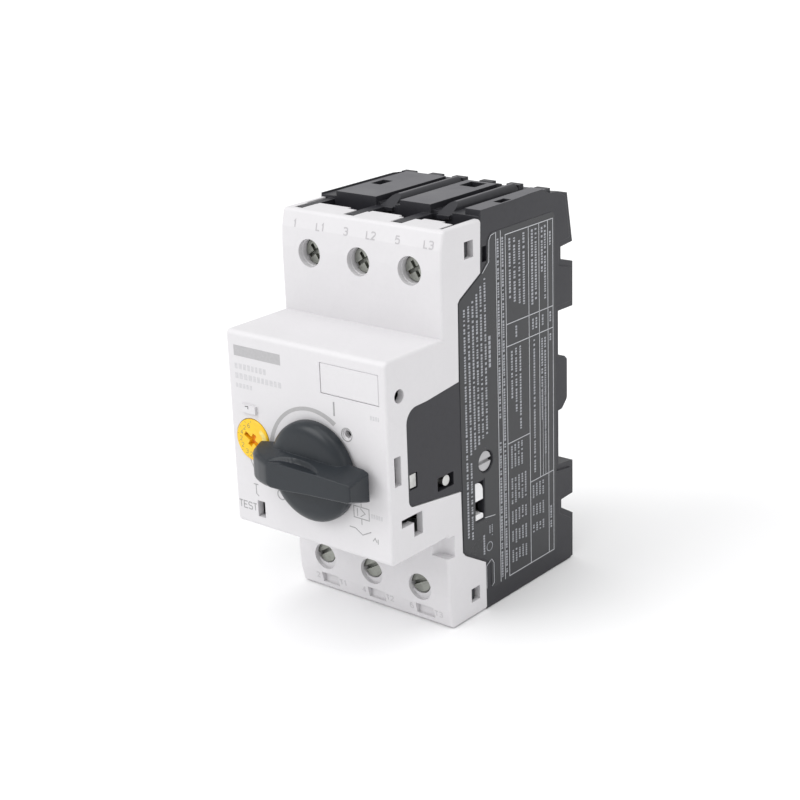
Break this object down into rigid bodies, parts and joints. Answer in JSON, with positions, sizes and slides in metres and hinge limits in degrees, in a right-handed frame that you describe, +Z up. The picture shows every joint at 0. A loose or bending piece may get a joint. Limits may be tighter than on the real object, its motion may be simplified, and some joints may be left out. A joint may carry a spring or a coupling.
{
  "type": "motor protection breaker",
  "caption": "Rail-mounted circuit breaker for motors, with a stepped front, a rotary handle, a current setting dial and screw terminals above and below.",
  "frame": {"origin": "middle of the underside: the centre of the overall box in X and Y, at its lowest face", "axes": "+Z up towards the line terminals, the operating face looks along -Y, +Y towards the mounting rail, +X to the right seen from the front"},
  "size_m": [0.045, 0.076, 0.0925],
  "materials": {
    "cover_plastic": "fine moulded grain, light grey",
    "base_plastic": "glass-filled moulding, near black, satin on the raised pads",
    "label_film": "glossy printed film",
    "lid_plastic": "fine moulded grain, light grey",
    "handle_plastic": "satin dark grey",
    "shaft_plastic": "plain moulded",
    "dial_plastic": "yellow, satin gloss",
    "natural_plastic": "plain moulded grey",
    "dark_plastic": "plain moulded",
    "white_plastic": "plain moulded",
    "latch_plastic": "plain moulded",
    "zinc_steel": "zinc plated",
    "screw_steel": "zinc plated, lightly marked",
    "spring_steel": "drawn wire",
    "copper": "rolled copper alloy",
    "clamp_brass": "stamped, satin"
  },
  "bodies": {
    "housing": {"front_cover": "cover_plastic", "base_housing": "base_plastic", "side_label": "label_film", "mechanism_frame": "zinc_steel", "mechanism_spring": "spring_steel", "load_contacts": "copper", "latch_spring": "spring_steel", "line_bar_1": "copper", "line_bar_2": "copper", "line_bar_3": "copper", "load_bar_1": "copper", "load_bar_2": "copper", "load_bar_3": "copper", "arc_chute_1": "zinc_steel", "arc_chute_2": "zinc_steel", "arc_chute_3": "zinc_steel", "magnet_coil_1": "copper", "magnet_coil_2": "copper", "magnet_coil_3": "copper", "magnet_yoke_1": "zinc_steel", "magnet_yoke_2": "zinc_steel", "magnet_yoke_3": "zinc_steel", "bimetal_1": "zinc_steel", "bimetal_2": "zinc_steel", "bimetal_3": "zinc_steel"},
    "handle": {"rotary_handle": "handle_plastic", "handle_shaft": "shaft_plastic", "drive_cam": "shaft_plastic"},
    "carrier": {"contact_carrier": "dark_plastic", "contact_bridge_1": "copper", "contact_bridge_2": "copper", "contact_bridge_3": "copper", "contact_springs": "spring_steel"},
    "aux_drive": {"aux_drive_slide": "white_plastic"},
    "dial": {"current_dial": "dial_plastic", "dial_cam": "natural_plastic"},
    "lid": {"accessory_lid": "lid_plastic"},
    "test": {"test_slider": "dark_plastic"},
    "trip": {"trip_shaft": "natural_plastic", "trip_bar": "dark_plastic"},
    "lever": {"latch_lever": "zinc_steel"},
    "flag": {"trip_flag": "white_plastic"},
    "latch": {"rail_latch": "latch_plastic"},
    "plunger_1": {"magnet_plunger_1": "zinc_steel"},
    "plunger_2": {"magnet_plunger_2": "zinc_steel"},
    "plunger_3": {"magnet_plunger_3": "zinc_steel"},
    "line_clamp_1": {"line_clamp_1": "clamp_brass"},
    "line_screw_1": {"line_screw_1": "screw_steel"},
    "line_clamp_2": {"line_clamp_2": "clamp_brass"},
    "line_screw_2": {"line_screw_2": "screw_steel"},
    "line_clamp_3": {"line_clamp_3": "clamp_brass"},
    "line_screw_3": {"line_screw_3": "screw_steel"},
    "load_clamp_1": {"load_clamp_1": "clamp_brass"},
    "load_screw_1": {"load_screw_1": "screw_steel"},
    "load_clamp_2": {"load_clamp_2": "clamp_brass"},
    "load_screw_2": {"load_screw_2": "screw_steel"},
    "load_clamp_3": {"load_clamp_3": "clamp_brass"},
    "load_screw_3": {"load_screw_3": "screw_steel"}
  },
  "joints": [
    {"name": "handle_turn", "type": "hinge", "parent": "housing", "child": "handle", "pos_m": [0.0026, -0.0306, 0.0404], "axis": [0, 1, 0], "range_deg": [0, 90]},
    {"name": "carrier_slide", "type": "slide", "parent": "housing", "child": "carrier", "axis": [0, 1, 0], "range_m": [0, 0.003]},
    {"name": "aux_drive_slide", "type": "slide", "parent": "housing", "child": "aux_drive", "axis": [0, 0, -1], "range_m": [0, 0.0013]},
    {"name": "dial_turn", "type": "hinge", "parent": "housing", "child": "dial", "pos_m": [-0.0161, -0.03, 0.0431], "axis": [0, 1, 0], "range_deg": [-120, 120]},
    {"name": "lid_pull", "type": "slide", "parent": "housing", "child": "lid", "axis": [0, -1, 0], "range_m": [0, 0.012]},
    {"name": "test_slide", "type": "slide", "parent": "housing", "child": "test", "axis": [1, 0, 0], "range_m": [0, 0.0012], "stiffness_N_per_m": 20},
    {"name": "trip_turn", "type": "hinge", "parent": "housing", "child": "trip", "pos_m": [0, 0.003, 0.0358], "axis": [-1, 0, 0], "range_deg": [0, 15], "stiffness_Nm_per_rad": 0.004},
    {"name": "lever_turn", "type": "hinge", "parent": "housing", "child": "lever", "pos_m": [0.0197, -0.0106, 0.0357], "axis": [-1, 0, 0], "range_deg": [0, 15]},
    {"name": "flag_slide", "type": "slide", "parent": "housing", "child": "flag", "axis": [0, 0, 1], "range_m": [0, 0.0013]},
    {"name": "latch_slide", "type": "slide", "parent": "housing", "child": "latch", "axis": [0, 0, -1], "range_m": [0, 0.0025], "stiffness_N_per_m": 300, "deforming": ["latch_spring"]},
    {"name": "plunger_1_slide", "type": "slide", "parent": "housing", "child": "plunger_1", "axis": [0, -1, 0], "range_m": [0, 0.002], "stiffness_N_per_m": 50},
    {"name": "plunger_2_slide", "type": "slide", "parent": "housing", "child": "plunger_2", "axis": [0, -1, 0], "range_m": [0, 0.002], "stiffness_N_per_m": 50},
    {"name": "plunger_3_slide", "type": "slide", "parent": "housing", "child": "plunger_3", "axis": [0, -1, 0], "range_m": [0, 0.002], "stiffness_N_per_m": 50},
    {"name": "line_clamp_1_slide", "type": "slide", "parent": "housing", "child": "line_clamp_1", "axis": [0, 1, 0], "range_m": [0, 0.0056]},
    {"name": "line_screw_1_turn", "type": "hinge", "parent": "line_clamp_1", "child": "line_screw_1", "pos_m": [-0.0141, -0.008, 0.0812], "axis": [0, 1, 0], "range_deg": [0, 2880]},
    {"name": "line_clamp_2_slide", "type": "slide", "parent": "housing", "child": "line_clamp_2", "axis": [0, 1, 0], "range_m": [0, 0.0056]},
    {"name": "line_screw_2_turn", "type": "hinge", "parent": "line_clamp_2", "child": "line_screw_2", "pos_m": [0, -0.008, 0.0812], "axis": [0, 1, 0], "range_deg": [0, 2880]},
    {"name": "line_clamp_3_slide", "type": "slide", "parent": "housing", "child": "line_clamp_3", "axis": [0, 1, 0], "range_m": [0, 0.0056]},
    {"name": "line_screw_3_turn", "type": "hinge", "parent": "line_clamp_3", "child": "line_screw_3", "pos_m": [0.0141, -0.008, 0.0812], "axis": [0, 1, 0], "range_deg": [0, 2880]},
    {"name": "load_clamp_1_slide", "type": "slide", "parent": "housing", "child": "load_clamp_1", "axis": [0, 1, 0], "range_m": [0, 0.0056]},
    {"name": "load_screw_1_turn", "type": "hinge", "parent": "load_clamp_1", "child": "load_screw_1", "pos_m": [-0.0148, -0.0089, 0.0094], "axis": [0, 1, 0], "range_deg": [0, 2880]},
    {"name": "load_clamp_2_slide", "type": "slide", "parent": "housing", "child": "load_clamp_2", "axis": [0, 1, 0], "range_m": [0, 0.0056]},
    {"name": "load_screw_2_turn", "type": "hinge", "parent": "load_clamp_2", "child": "load_screw_2", "pos_m": [-0.0007, -0.0089, 0.0094], "axis": [0, 1, 0], "range_deg": [0, 2880]},
    {"name": "load_clamp_3_slide", "type": "slide", "parent": "housing", "child": "load_clamp_3", "axis": [0, 1, 0], "range_m": [0, 0.0056]},
    {"name": "load_screw_3_turn", "type": "hinge", "parent": "load_clamp_3", "child": "load_screw_3", "pos_m": [0.0134, -0.0089, 0.0094], "axis": [0, 1, 0], "range_deg": [0, 2880]}
  ],
  "couplings": [
    {"joint": "handle_turn", "follows": "carrier_slide", "rad_per_m": 523},
    {"joint": "aux_drive_slide", "follows": "carrier_slide", "ratio": 0.43},
    {"joint": "trip_turn", "follows": "flag_slide", "rad_per_m": 201},
    {"joint": "lever_turn", "follows": "flag_slide", "rad_per_m": 201},
    {"joint": "line_screw_1_turn", "follows": "line_clamp_1_slide", "rad_per_m": 8971},
    {"joint": "line_screw_2_turn", "follows": "line_clamp_2_slide", "rad_per_m": 8971},
    {"joint": "line_screw_3_turn", "follows": "line_clamp_3_slide", "rad_per_m": 8971},
    {"joint": "load_screw_1_turn", "follows": "load_clamp_1_slide", "rad_per_m": 8971},
    {"joint": "load_screw_2_turn", "follows": "load_clamp_2_slide", "rad_per_m": 8971},
    {"joint": "load_screw_3_turn", "follows": "load_clamp_3_slide", "rad_per_m": 8971}
  ]
}
